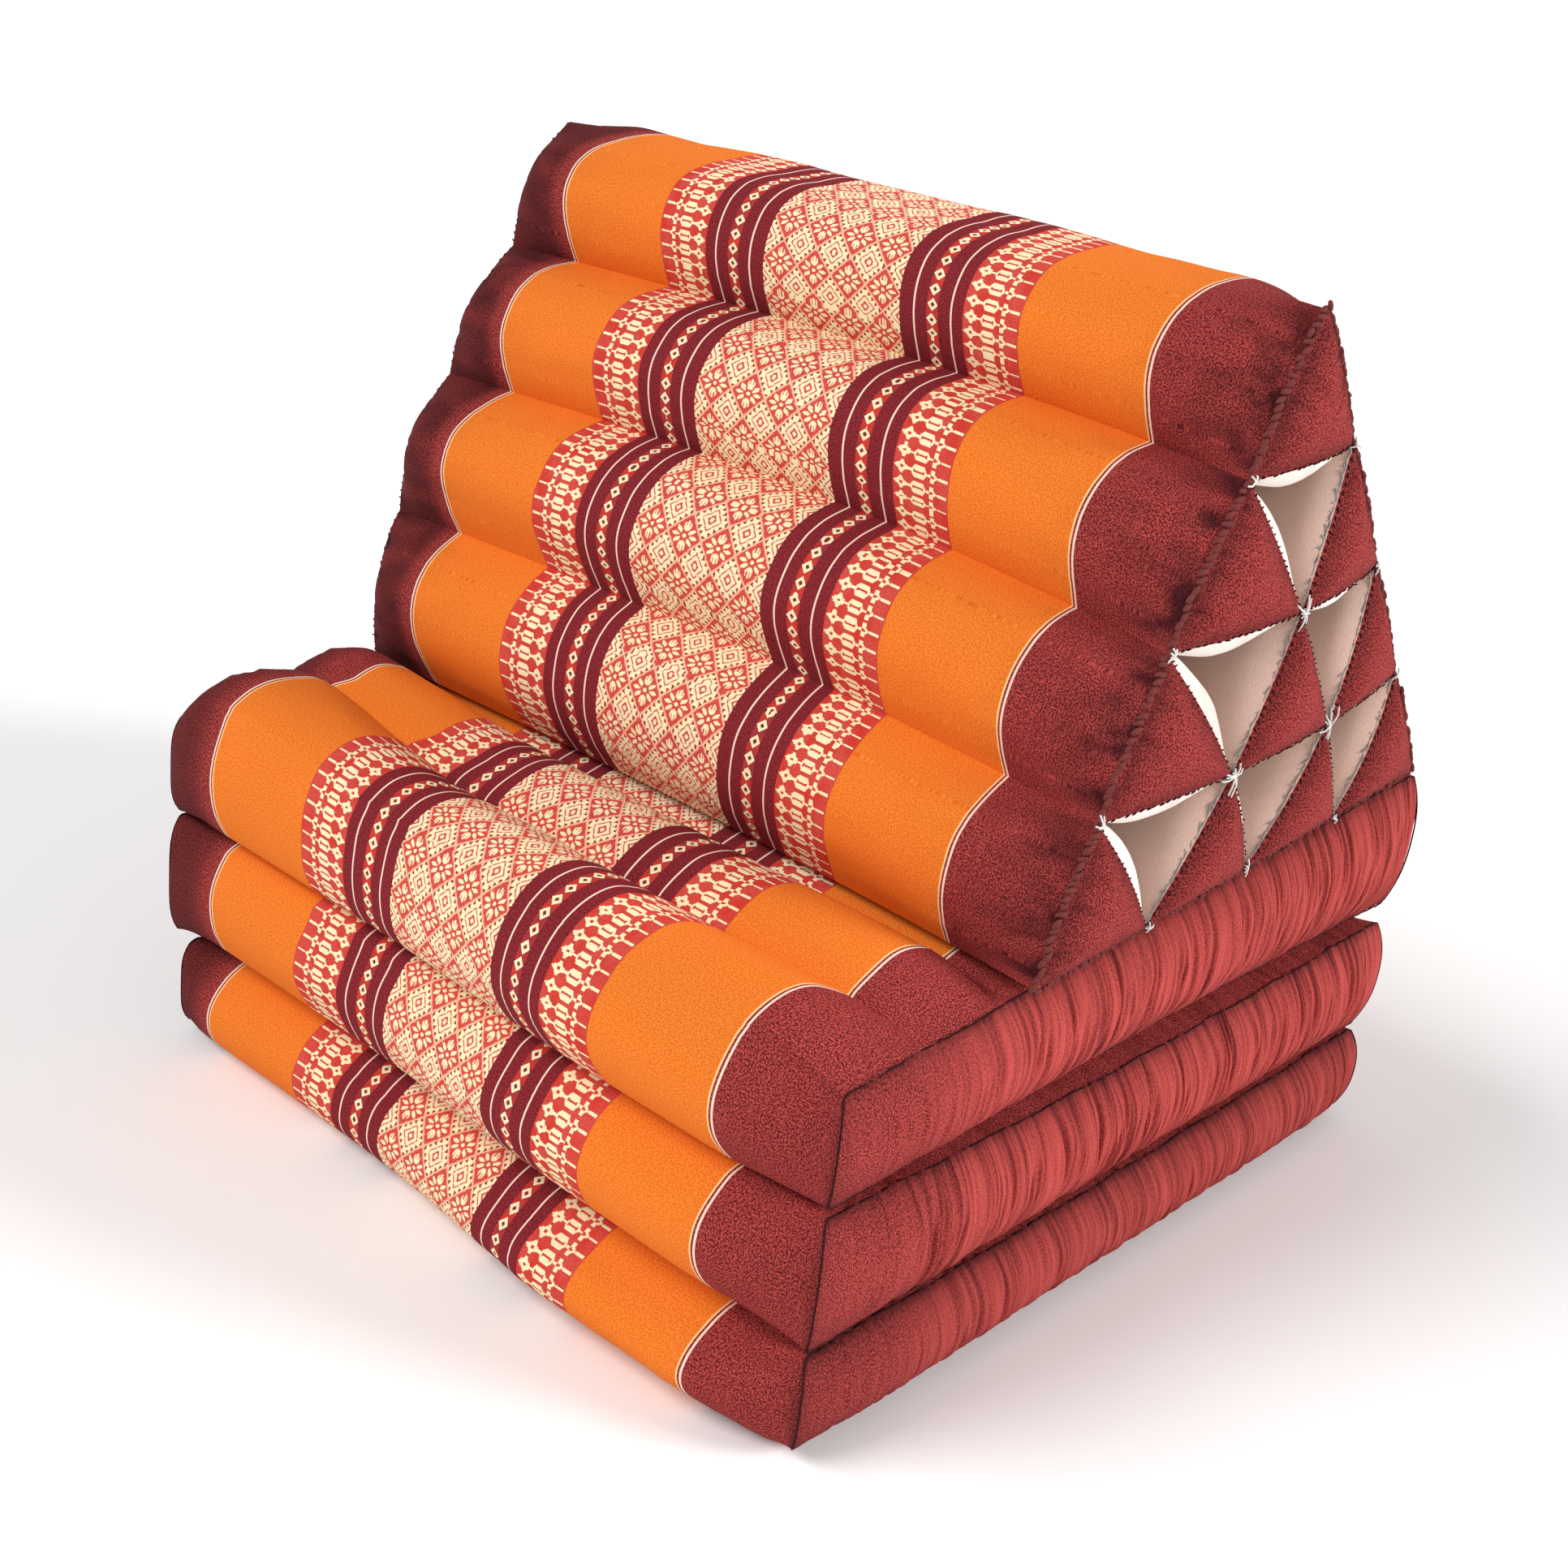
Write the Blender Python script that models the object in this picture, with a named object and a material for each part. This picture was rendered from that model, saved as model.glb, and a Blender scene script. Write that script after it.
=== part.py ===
"""Triangular back cushion with three folded seat mats, all stuffed cotton.

Metres, +Z up. X runs along the ridge of the cushion, -Y is the front, and the
origin is under the middle of the whole thing at floor level.

The triangular cushion is ten stuffed tubes with a triangular section that run
the full width. They meet only along their seams, so six open channels are left
between them. It leans a little forward on the top mat, which is thicker at the
back. The mats are folded on each other in a zigzag; each is one stuffed body
with cross channels, a wrapped front and back, and a side strip with seams.
"""

import math

import bmesh
import bpy
from mathutils import Vector

# Sizes shared by the three mats.
mat_width = 0.530  # between the side seams
mat_depth = 0.538  # between the corner seams
seam_lines = (-0.269, -0.212, -0.142, -0.071, 0.0, 0.071, 0.142, 0.212, 0.269)
side_fall = 0.055  # the covers come down to the side seams over this width
front_bulge = 0.012  # the wrapped front and back stand out past the corner seams
side_bulge = 0.010  # the side strips stand out past their seams
wrap_radius = 0.030  # round of the cover where it goes over the front and back
corner_radius = 0.005  # the same round where it meets the side seam
channel_depth = 0.005  # a pressed channel between two layers
open_channel_depth = 0.012  # a channel with nothing lying on it
seam_pull = 0.003  # the side seam is drawn in at each channel
gap = 0.0003  # between bodies that lie on each other
mat_shift = -0.011  # the middle of the mats lies this much to the left of the cushion's

# One row per mat, heights above the floor at the front and at the back.
mat_names = ("mat_bottom", "mat_middle", "mat_top")
lower_seam = {"mat_bottom": (0.007, 0.007), "mat_middle": (0.067, 0.071), "mat_top": (0.152, 0.154)}
upper_seam = {"mat_bottom": (0.060, 0.064), "mat_middle": (0.138, 0.141), "mat_top": (0.210, 0.247)}
lower_rest = {"mat_bottom": (0.0, 0.0), "mat_middle": (0.0637, 0.0677), "mat_top": (0.1450, 0.1476)}
upper_rest = {"mat_bottom": (0.0637, 0.0677), "mat_middle": (0.1450, 0.1476)}
open_crown = 0.238  # the two front rolls of the top mat, which nothing lies on

# Triangular cushion, as the points of its end face (Y, Z).
front_foot = Vector((-0.1432, 0.2303))
back_foot = Vector((0.2344, 0.2625))
ridge = Vector((0.0064, 0.5583))
cushion_width = 0.532  # between the two end faces, at their edge
end_dome = 0.013  # the middle of an end face stands out by this much
cap_bulge = 0.007  # each stuffed end panel on top of that
rows = 4
outer_sag = 0.031  # how far the rolls on the slopes stand out from their chord
roll_power = 2.2  # their section is a little fuller than a parabola, which is 2
inner_sag = 0.013  # the same for the walls of the open channels
under_sag = 0.005  # and for the side that lies on the mat
end_sag_share = 0.12  # the sides are flatter at the end seam
end_run = 0.075  # over this length from the end
corner_inset = 0.00018  # keeps the seam edges of neighbouring tubes apart

# Mesh steps.
steps_x = 12
steps_channel = 4
steps_z = 4
tube_steps = 12
side_steps = 5
cap_rings = 2


def smooth(t):
    t = max(0.0, min(1.0, t))
    return t * t * (3.0 - 2.0 * t)


def between(pair, y):
    """The height at depth y from a front and a back height."""
    share = (y + mat_depth / 2) / mat_depth
    return pair[0] + (pair[1] - pair[0]) * share


def foot_line(y):
    """The height of the cushion's underside seams at depth y."""
    foot = back_foot - front_foot
    return front_foot.y + (y - front_foot.x) * foot.y / foot.x


def channel(y):
    """1 on a sewn channel, 0 on the crown of a roll."""
    inner = seam_lines[1:-1]
    if abs(y) > inner[-1]:
        half = (seam_lines[-1] - inner[-1]) * 0.85
        return 1.0 - math.sin(math.pi / 2 * min(1.0, (abs(y) - inner[-1]) / half))
    for a, b in zip(inner, inner[1:]):
        if a <= y <= b:
            return 1.0 - math.sin(math.pi * (y - a) / (b - a))
    return 0.0


def mat_point(name, a, b, c):
    """Moves a point of a cube (each coordinate -1 to 1) onto a mat."""
    k = (b + 1) / 2 * (len(seam_lines) - 1)
    i = min(int(k), len(seam_lines) - 2)
    y = seam_lines[i] + (seam_lines[i + 1] - seam_lines[i]) * (k - i)
    half_width = mat_width / 2
    spread = 1.0 - (1.0 - abs(a)) ** 1.7
    x = math.copysign(spread * half_width, a)
    inside = smooth((half_width - abs(x)) / side_fall)

    groove = channel(y)
    depth_down = 0.0 if name == "mat_bottom" else channel_depth
    if name == "mat_top":
        covered = smooth((y - front_foot.x + 0.012) / 0.015)
        pressed = foot_line(y) - under_sag - channel_depth * groove
        crown = covered * pressed + (1 - covered) * (open_crown - open_channel_depth * groove)
    else:
        crown = between(upper_rest[name], y) - channel_depth * groove
    top = between(upper_seam[name], y)
    top += (crown - gap / 2 - top) * inside
    bottom = between(lower_seam[name], y)
    bottom += (between(lower_rest[name], y) + gap / 2 + depth_down * groove - bottom) * inside
    if name == "mat_bottom":
        bottom = lower_seam[name][0] * (1 - smooth((half_width - abs(x)) / 0.025))

    radius = corner_radius + (wrap_radius - corner_radius) * inside
    radius = min(radius, (top - bottom) * 0.46)
    half_depth = mat_depth / 2
    over = max(0.0, abs(y) - (half_depth - radius)) / radius
    drop = radius * (1.0 - math.sqrt(max(0.0, 1.0 - min(1.0, over) ** 2)))
    top -= drop
    floor_drop = 0.55 if name == "mat_bottom" else 1.0
    bottom += drop * floor_drop
    z = bottom + (top - bottom) * (c + 1) / 2
    bulge = front_bulge * inside * abs(b) ** 12
    y += math.copysign(bulge * (1.0 - 0.5 * c * c), b)
    if abs(a) > 0.999:
        x += math.copysign(side_bulge * (1 - c * c) * (1 - b ** 6), a)
        x -= math.copysign(seam_pull * groove * c * c, a)
    return Vector((x + mat_shift, y, z))


def along(bm, axis):
    """The edges that run along one axis."""
    return [e for e in bm.edges if abs((e.verts[0].co - e.verts[1].co).normalized()[axis]) > 0.9]


def make_mat(name, material):
    bm = bmesh.new()
    bmesh.ops.create_cube(bm, size=2.0)
    columns = steps_channel * (len(seam_lines) - 1)
    for axis, cuts in ((0, steps_x - 1), (1, columns - 1), (2, steps_z - 1)):
        bmesh.ops.subdivide_edges(bm, edges=along(bm, axis), cuts=cuts, use_grid_fill=True)
    for v in bm.verts:
        v.co = mat_point(name, v.co.x, v.co.y, v.co.z)
    return finish(bm, name, material)


def lattice(i, j):
    """Point j of row i of the seams on an end face, counted from the ridge."""
    return ridge + (front_foot - ridge) * (i / rows) + (back_foot - front_foot) * (j / rows)


def share_inside(p):
    """0 on the edge of an end face and 1 at its middle."""
    ab, ac, ap = back_foot - front_foot, ridge - front_foot, p - front_foot
    whole = ab.x * ac.y - ab.y * ac.x
    s = (ap.x * ac.y - ap.y * ac.x) / whole
    t = (ab.x * ap.y - ab.y * ap.x) / whole
    return max(0.0, 27.0 * s * t * (1 - s - t))


def tube_outline(corners, sags, turn, run):
    """A point of a tube's section: turn is 0 to 3 round its sides."""
    side = int(turn) % 3
    s = turn - int(turn)
    a, b = corners[side], corners[(side + 1) % 3]
    edge = b - a
    out = Vector((edge.y, -edge.x)).normalized()
    sag = sags[side] * (end_sag_share + (1 - end_sag_share) * run)
    if sags[side] == outer_sag:
        return a + edge * s + out * (sag * (1 - abs(2 * s - 1) ** roll_power))
    half_turn = 2 * math.atan(2 * sag / edge.length)
    swing = (2 * s - 1) * half_turn
    bow = edge.length / 2 / math.sin(half_turn)
    height = bow * (math.cos(swing) - math.cos(half_turn))
    return a + edge * (0.5 + math.sin(swing) / math.sin(half_turn) / 2) + out * height


def make_tube(row, column, material):
    corners = [lattice(row + 1, column), lattice(row + 1, column + 1), lattice(row, column)]
    middle = (corners[0] + corners[1] + corners[2]) / 3
    corners = [p + (middle - p).normalized() * corner_inset for p in corners]
    under = under_sag if row == rows - 1 else inner_sag
    sags = (under, outer_sag if column == row else inner_sag, outer_sag if column == 0 else inner_sag)
    bm = bmesh.new()
    bmesh.ops.create_cone(bm, cap_ends=True, cap_tris=True, segments=3 * side_steps, radius1=1.0, radius2=1.0, depth=2.0)
    bmesh.ops.subdivide_edges(bm, edges=along(bm, 2), cuts=tube_steps - 1, use_grid_fill=True)
    spokes = [e for e in bm.edges if min(v.co.xy.length for v in e.verts) < 1e-6]
    bmesh.ops.subdivide_edges(bm, edges=spokes, cuts=cap_rings - 1, use_grid_fill=True)
    for v in bm.verts:
        reach = min(1.0, v.co.xy.length)
        turn = (math.atan2(v.co.y, v.co.x) / math.tau) % 1.0 * 3
        turn = round(turn * side_steps) / side_steps % 3
        length = math.copysign(1.0 - (1.0 - abs(v.co.z)) ** 1.7, v.co.z)
        from_end = (1.0 - abs(length)) * cushion_width / 2
        run = 1.0 - (1.0 - min(1.0, from_end / end_run)) ** 2.3
        edge = tube_outline(corners, sags, turn, run)
        p = middle + (edge - middle) * reach
        end = cushion_width / 2 + end_dome * share_inside(p)
        x = length * end + math.copysign(cap_bulge * (1 - reach * reach), v.co.z)
        v.co = Vector((x, p.x, p.y))
    return finish(bm, f"tube_{row + 1}_{column + 1}", material)


def finish(bm, name, material):
    """Writes the mesh as an object with its faces turned outwards."""
    if bm.calc_volume(signed=True) < 0:
        bmesh.ops.reverse_faces(bm, faces=bm.faces)
    mesh = bpy.data.meshes.new(name)
    bm.to_mesh(mesh)
    bm.free()
    mesh.materials.append(material)
    for polygon in mesh.polygons:
        polygon.use_smooth = True
    ob = bpy.data.objects.new(name, mesh)
    bpy.context.scene.collection.objects.link(ob)
    return ob


def cotton(name, colour, roughness):
    material = bpy.data.materials.new(name)
    material.use_nodes = True
    shader = material.node_tree.nodes["Principled BSDF"]
    shader.inputs["Base Color"].default_value = (*colour, 1.0)
    shader.inputs["Roughness"].default_value = roughness
    shader.inputs["Metallic"].default_value = 0.0
    return material


for ob in list(bpy.context.scene.objects):
    bpy.data.objects.remove(ob, do_unlink=True)

patterned_cotton = cotton("patterned_cotton", (0.62, 0.16, 0.03), 0.85)
dark_red_cotton = cotton("dark_red_cotton", (0.17, 0.022, 0.028), 0.88)
white_cotton = cotton("white_cotton", (0.80, 0.76, 0.72), 0.90)

for name in mat_names:
    make_mat(name, patterned_cotton)

# The two middle tubes of the lowest row show only the plain underside, and the
# tube in the heart of the cushion only the white walls of the open channels.
for row in range(rows):
    for column in range(row + 1):
        if 0 < column < row:
            cloth = dark_red_cotton if row == rows - 1 else white_cotton
        else:
            cloth = patterned_cotton
        make_tube(row, column, cloth)
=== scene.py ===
"""The look of a triangular back cushion on three folded seat mats in woven Thai cotton.

Metres, +Z up, X along the ridge, -Y to the front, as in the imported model. The mats and
the tubes of the cushion are stuffed bodies. Their covers are grids that formulas lay
over the seams. Cloth simulation then blows up the side strips and the tubes, and
formulas add the finer gathers and folds.
"""

import math

import bmesh
import bpy
import numpy as np
from mathutils import Matrix, Vector, noise


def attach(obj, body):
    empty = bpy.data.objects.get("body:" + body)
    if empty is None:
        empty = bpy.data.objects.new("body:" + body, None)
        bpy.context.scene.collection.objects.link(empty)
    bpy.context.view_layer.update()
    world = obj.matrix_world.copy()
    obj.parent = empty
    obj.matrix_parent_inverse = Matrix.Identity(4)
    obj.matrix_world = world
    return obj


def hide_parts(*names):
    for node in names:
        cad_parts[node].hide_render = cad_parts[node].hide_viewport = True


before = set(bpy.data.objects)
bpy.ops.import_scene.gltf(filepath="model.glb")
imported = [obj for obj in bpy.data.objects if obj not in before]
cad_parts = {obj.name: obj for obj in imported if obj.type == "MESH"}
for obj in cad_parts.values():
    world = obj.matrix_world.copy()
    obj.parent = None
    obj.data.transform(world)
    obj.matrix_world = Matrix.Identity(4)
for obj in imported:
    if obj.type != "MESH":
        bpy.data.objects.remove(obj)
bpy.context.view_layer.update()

# Mats.
half_width = 0.265
half_depth = 0.269
seam_lines = (-0.269, -0.212, -0.142, -0.071, 0.0, 0.071, 0.142, 0.212, 0.269)
side_fall = 0.055  # the covers come down to the side seams over this width
left_side_fall = 0.042
layer_gap = 0.0004
crown_height = 0.2390  # the front rolls of the top mat, which nothing lies on
left_crown_rise = 0.010
open_channel = 0.0165
pressed_channel = 0.005
seam_pull = 0.0015  # the side seam is drawn in at each channel
side_bulge = 0.015
left_side_bulge = 0.009
front_right_swell = 0.015
short_left = 0.014  # the bottom mat ends this much earlier on the left
mat_shift = -0.011  # the middle of the mats lies this much to the left of the cushion's

# At the front and at the back: heights of the side seams and of the faces that rest on each
# other, and the radius with which the cover goes over and under. A third height is how far
# the side seam bows up in between.
mats = {
    "mat_bottom": {
        "low_seam": (0.006, 0.006),
        "high_seam": (0.0625, 0.0650, -0.003),
        "low": (0.0, 0.0),
        "high": (0.0637, 0.0677),
        "over_round": (0.036, 0.014),
        "under_round": (0.026, 0.026),
    },
    "mat_middle": {
        "low_seam": (0.0645, 0.0700, 0.002),
        "high_seam": (0.1425, 0.1440, -0.006),
        "low": (0.0637, 0.0677),
        "high": (0.1450, 0.1476),
        "over_round": (0.014, 0.036),
        "under_round": (0.026, 0.014),
    },
    "mat_top": {
        "low_seam": (0.1475, 0.1575, 0.004),
        "high_seam": (0.2100, 0.2470),
        "low": (0.1450, 0.1476),
        "high": None,
        "over_round": (0.036, 0.036),
        "under_round": (0.014, 0.026),
    },
}

# The triangular cushion, as (Y, Z) of the corners of its end face.
front_foot = np.array((-0.1432, 0.2303))
back_foot = np.array((0.2344, 0.2625))
ridge = np.array((0.0064, 0.5583))
cushion_half = 0.266
rows = 4
outer_sag = 0.033
lowest_sag = 0.027  # the lowest roll of the front slope lies in against the mat
roll_power = 2.2  # the section of a roll is a little fuller than a parabola, which is 2
inner_sag = 0.012
front_inner_sag = 0.0155  # the undyed walls of the front tubes are slack
under_sag = 0.005
# From the ridge down: how far the seams of the front slope stand out at the ends, how far
# each row of seams rises in the middle, and how far its left end stands out sideways.
slope_bow = (0.0, 0.003, 0.009, 0.006, 0.0)
seam_rise = (0.0, 0.011, 0.017, 0.012, 0.0)
left_lean = (0.012, 0.013, 0.016, 0.015, 0.0)
foot_set_back = 0.012  # the front foot lies further back in the middle
cloth_per_roll = 0.120  # cloth from one valley of the slopes to the next
cloth_per_width = 1.0536  # the cover is wider than the cushion, because it's drawn in


def smooth(t):
    t = np.clip(t, 0.0, 1.0)
    return t * t * (3.0 - 2.0 * t)


def ripple(points, size, seed):
    """Soft noise from -1 to 1 whose lumps are about size across; size may differ per axis."""
    scaled = np.asarray(points) / np.asarray(size) + seed * 17.3
    return np.array([noise.noise(Vector(p)) for p in scaled]) * 2.0


def block(steps):
    """A cube from -1 to 1 whose faces are grids of the given steps along X, Y and Z."""
    bm = bmesh.new()
    bmesh.ops.create_cube(bm, size=2.0)
    for axis, count in enumerate(steps):
        edges = [e for e in bm.edges if abs(e.verts[0].co[axis] - e.verts[1].co[axis]) > 1e-6]
        bmesh.ops.subdivide_edges(bm, edges=edges, cuts=count - 1, use_grid_fill=True)
    return bm


def make_object(name, bm):
    mesh = bpy.data.meshes.new(name)
    bm.to_mesh(mesh)
    bm.free()
    ob = bpy.data.objects.new(name, mesh)
    bpy.context.scene.collection.objects.link(ob)
    return ob


def points_of(mesh):
    flat = np.zeros(len(mesh.vertices) * 3)
    mesh.vertices.foreach_get("co", flat)
    return flat.reshape(-1, 3)


def move_points(mesh, points):
    mesh.vertices.foreach_set("co", np.ascontiguousarray(points, np.float32).ravel())
    mesh.update()


def keep_on_points(mesh, name, values):
    mesh.attributes.new(name, "FLOAT", "POINT").data.foreach_set("value", np.asarray(values, np.float32))


def read_points(mesh, name):
    values = np.zeros(len(mesh.vertices), np.float32)
    mesh.attributes[name].data.foreach_get("value", values)
    mesh.attributes.remove(mesh.attributes[name])
    return values.astype(float)


def lay_cloth_map(mesh, corner_map):
    """Stores where each face corner lies on the flat cloth, in metres."""
    layer = mesh.uv_layers.new(name="cloth")
    layer.data.foreach_set("uv", np.ascontiguousarray(corner_map, np.float32).ravel())


def corner_points(mesh):
    """The point and the face of each face corner."""
    index = np.zeros(len(mesh.loops), np.int32)
    mesh.loops.foreach_get("vertex_index", index)
    totals = np.zeros(len(mesh.polygons), np.int32)
    mesh.polygons.foreach_get("loop_total", totals)
    face = np.repeat(np.arange(len(totals)), totals)
    return index, face


def inflate(ob, pinned, rest, pressure, frames, limit, stiffness=18.0, bending=0.4):
    """Runs a cloth simulation with the seams held, and keeps the blown-up shape.

    rest is the shape in which the cloth is unstretched, so cloth that is longer there
    than in the start shape folds up. No point moves further than limit.
    """
    start = points_of(ob.data)
    group = ob.vertex_groups.new(name="sewn")
    group.add([int(i) for i in np.flatnonzero(pinned)], 1.0, "REPLACE")
    ob.shape_key_add(name="start")
    key = ob.shape_key_add(name="flat cloth")
    key.data.foreach_set("co", np.ascontiguousarray(rest, np.float32).ravel())
    cloth = ob.modifiers.new("stuffing", "CLOTH")
    s = cloth.settings
    s.quality = 6
    s.mass = 0.2
    s.air_damping = 4.0
    s.tension_stiffness = s.compression_stiffness = stiffness
    s.shear_stiffness = stiffness * 0.5
    s.bending_stiffness = bending
    s.tension_damping = s.compression_damping = s.shear_damping = 12.0
    s.use_pressure = True
    s.uniform_pressure_force = pressure
    s.vertex_group_mass = "sewn"
    s.pin_stiffness = 20.0
    s.rest_shape_key = key
    s.effector_weights.gravity = 0.0
    cloth.collision_settings.use_collision = False
    scene = bpy.context.scene
    cloth.point_cache.frame_start, cloth.point_cache.frame_end = 1, frames
    for number in range(1, frames + 1):
        scene.frame_set(number)
    shaped = ob.evaluated_get(bpy.context.evaluated_depsgraph_get())
    moved = points_of(shaped.data) - start
    scene.frame_set(1)
    ob.modifiers.remove(cloth)
    ob.shape_key_clear()
    ob.vertex_groups.clear()
    length = np.linalg.norm(moved, axis=1, keepdims=True)
    moved *= np.minimum(1.0, limit / np.maximum(length, 1e-9))
    return start + moved


def remove(ob):
    mesh = ob.data
    bpy.data.objects.remove(ob)
    bpy.data.meshes.remove(mesh)


# Seat mats.


def channel(y):
    """1 on a sewn channel and 0 on the crown of a roll."""
    lines = np.array(seam_lines[1:-1])
    out = np.abs(y)
    last = lines[-1]
    step = np.clip(np.searchsorted(lines, y, side="right") - 1, 0, len(lines) - 2)
    share = (y - lines[step]) / (lines[step + 1] - lines[step])
    roll = 1.0 - np.sin(np.pi * np.clip(share, 0, 1)) ** 0.75
    edge = 1.0 - np.sin(np.pi / 2 * np.clip((out - last) / 0.048, 0, 1)) ** 0.75
    return np.where(out > last, edge, roll)


def foot_line(y):
    foot = back_foot - front_foot
    return front_foot[1] + (y - front_foot[0]) * foot[1] / foot[0]


def mat_shape(name, a, b, c):
    """Moves points of a block onto a mat: a across, b from front to back, c upwards."""
    size = mats[name]
    rolls = len(seam_lines) - 1
    y = np.interp((b + 1) / 2 * rolls, range(rolls + 1), seam_lines)
    x = np.sign(a) * (1 - (1 - np.abs(a)) ** 1.6) * half_width
    from_side = half_width - np.abs(x)
    left, right = smooth((-0.06 - x) / 0.18), smooth((x + 0.09) / 0.20)
    inside = 1 - (1 - np.clip(from_side / np.where(x < 0, left_side_fall, side_fall), 0, 1)) ** 2.2
    pressed_in = np.where(x < 0, 0.65 + 0.35 * inside, inside)
    x = x * (1 + 0.026 * smooth((-0.15 - x) / 0.115))
    groove = channel(y)

    def height(key):
        front, back = size[key][:2]
        share = (y + half_depth) / (2 * half_depth)
        bow = size[key][2] if len(size[key]) > 2 else 0.0
        return front + (back - front) * share + bow * (1 - (2 * share - 1) ** 2)

    if name == "mat_top":
        covered = smooth((y - front_foot[0] + 0.012) / 0.015)
        pressed = foot_line(y) - under_sag - pressed_channel * groove
        open_crown = crown_height + left_crown_rise * left - (open_channel - 0.004 * left) * groove
        crown = covered * pressed + (1 - covered) * open_crown
    else:
        crown = height("high") - pressed_channel * groove
    top = height("high_seam")
    top = top + (crown - layer_gap - top) * (inside if name == "mat_top" else pressed_in)
    bottom = height("low_seam")
    if name == "mat_bottom":
        bottom = bottom * (1 - smooth(from_side / 0.022))
    else:
        bottom = bottom + (height("low") + layer_gap + pressed_channel * groove - bottom) * pressed_in

    # The cover goes over the front and the back in a round, tight where a hinge is.
    for key, share in (("over_round", -1.0), ("under_round", 0.6 if name == "mat_bottom" else 1.0)):
        rounding = np.where(b < 0, size[key][0], size[key][1])
        radius = np.minimum(0.004 + (rounding - 0.004) * inside, (top - bottom) * 0.47)
        over = 0.80 * np.clip((np.abs(y) - (half_depth - radius)) / radius, 0, 1)
        drop = radius * (1 - np.sqrt(np.maximum(0.0, 1 - over ** 2)))
        if share < 0:
            top = top - drop
        else:
            bottom = bottom + drop * share
    z = bottom + (top - bottom) * (c + 1) / 2
    full = 1 - np.abs(c) ** np.where(x < 0, 4.0, 2.4)
    fallen = y
    bulge = (0.002 + 0.011 * (1 - c * c)) * inside + 0.006 * (1 - inside) * full
    y = y + np.sign(b) * np.abs(b) ** 12 * bulge
    # The front is stuffed fuller towards the right, and the first channel runs back to the left.
    fuller = right * smooth(from_side / 0.075) ** 0.8 * (b < 0)
    y = y - front_right_swell * fuller * np.abs(b) ** 5 * (1 - 0.5 * c * c)
    y = y + 0.010 * left * np.exp(-((fallen + 0.212) / 0.032) ** 2) * (name == "mat_top")
    side = np.abs(a) > 0.999
    proud = np.where(x < 0, left_side_bulge, side_bulge) - left_side_bulge * b ** 10
    x = x + np.where(side, np.sign(a) * proud * full, 0)
    sewn = side & ((c > 0) | (name != "mat_bottom"))
    x = x - np.where(sewn, np.sign(a) * seam_pull * groove * c * c, 0)
    if name == "mat_bottom":
        x = x + short_left * smooth((-0.13 - x) / 0.13)
    return np.stack([x, y, z], axis=1)


def girth(name, across, steps_y, steps_z):
    """How far each grid line is from the middle of the top, measured round the section."""
    b = np.linspace(-1, 1, steps_y + 1)
    c = np.linspace(-1, 1, steps_z + 1)

    def line(bs, cs):
        p = mat_shape(name, np.full(len(bs), across), bs, cs)
        return np.concatenate([[0], np.cumsum(np.linalg.norm(np.diff(p, axis=0), axis=1))])

    top = line(b, np.ones(len(b)))
    top = top - np.interp(0, b, top)
    front = top[0] - line(np.full(len(c), -1.0), c[::-1])[::-1]
    back = top[-1] + line(np.full(len(c), 1.0), c[::-1])[::-1]
    under = front[0] - line(b, -np.ones(len(b)))
    return {"top": top, "front": front, "back": back, "under": under}


def gathers(y, c, seed, smooth_front):
    """How deep the folds of a side strip are, 0 to 1: in bunches, with smoother cloth between.

    smooth_front is how far the cloth stays smooth behind the front corner.
    """
    dice = np.random.default_rng(seed)
    depth = np.zeros(len(y))
    place = smooth_front - 0.262
    while place < 0.258:
        for _ in range(dice.integers(3, 8)):
            slant, sway = dice.uniform(-0.003, 0.003), dice.uniform(0.0004, 0.0016)
            line = place + slant * c + sway * np.sin(2.2 * c + dice.uniform(0, math.tau))
            near = np.exp(-np.abs((y - line) / dice.uniform(0.0012, 0.0020)) ** 1.6)
            runs = (1.0, 1.0, smooth(0.9 + c), smooth(0.9 - c))[dice.integers(0, 4)]
            depth = np.maximum(depth, dice.uniform(0.30, 1.0) * near * runs)
            place += dice.uniform(0.0040, 0.0075)
        place += dice.uniform(0.002, 0.016)
    from_front = y + half_depth
    depth *= 0.25 + 0.75 * smooth((from_front - smooth_front) / 0.08)
    return depth * smooth((from_front - 0.006) / 0.03)


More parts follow.
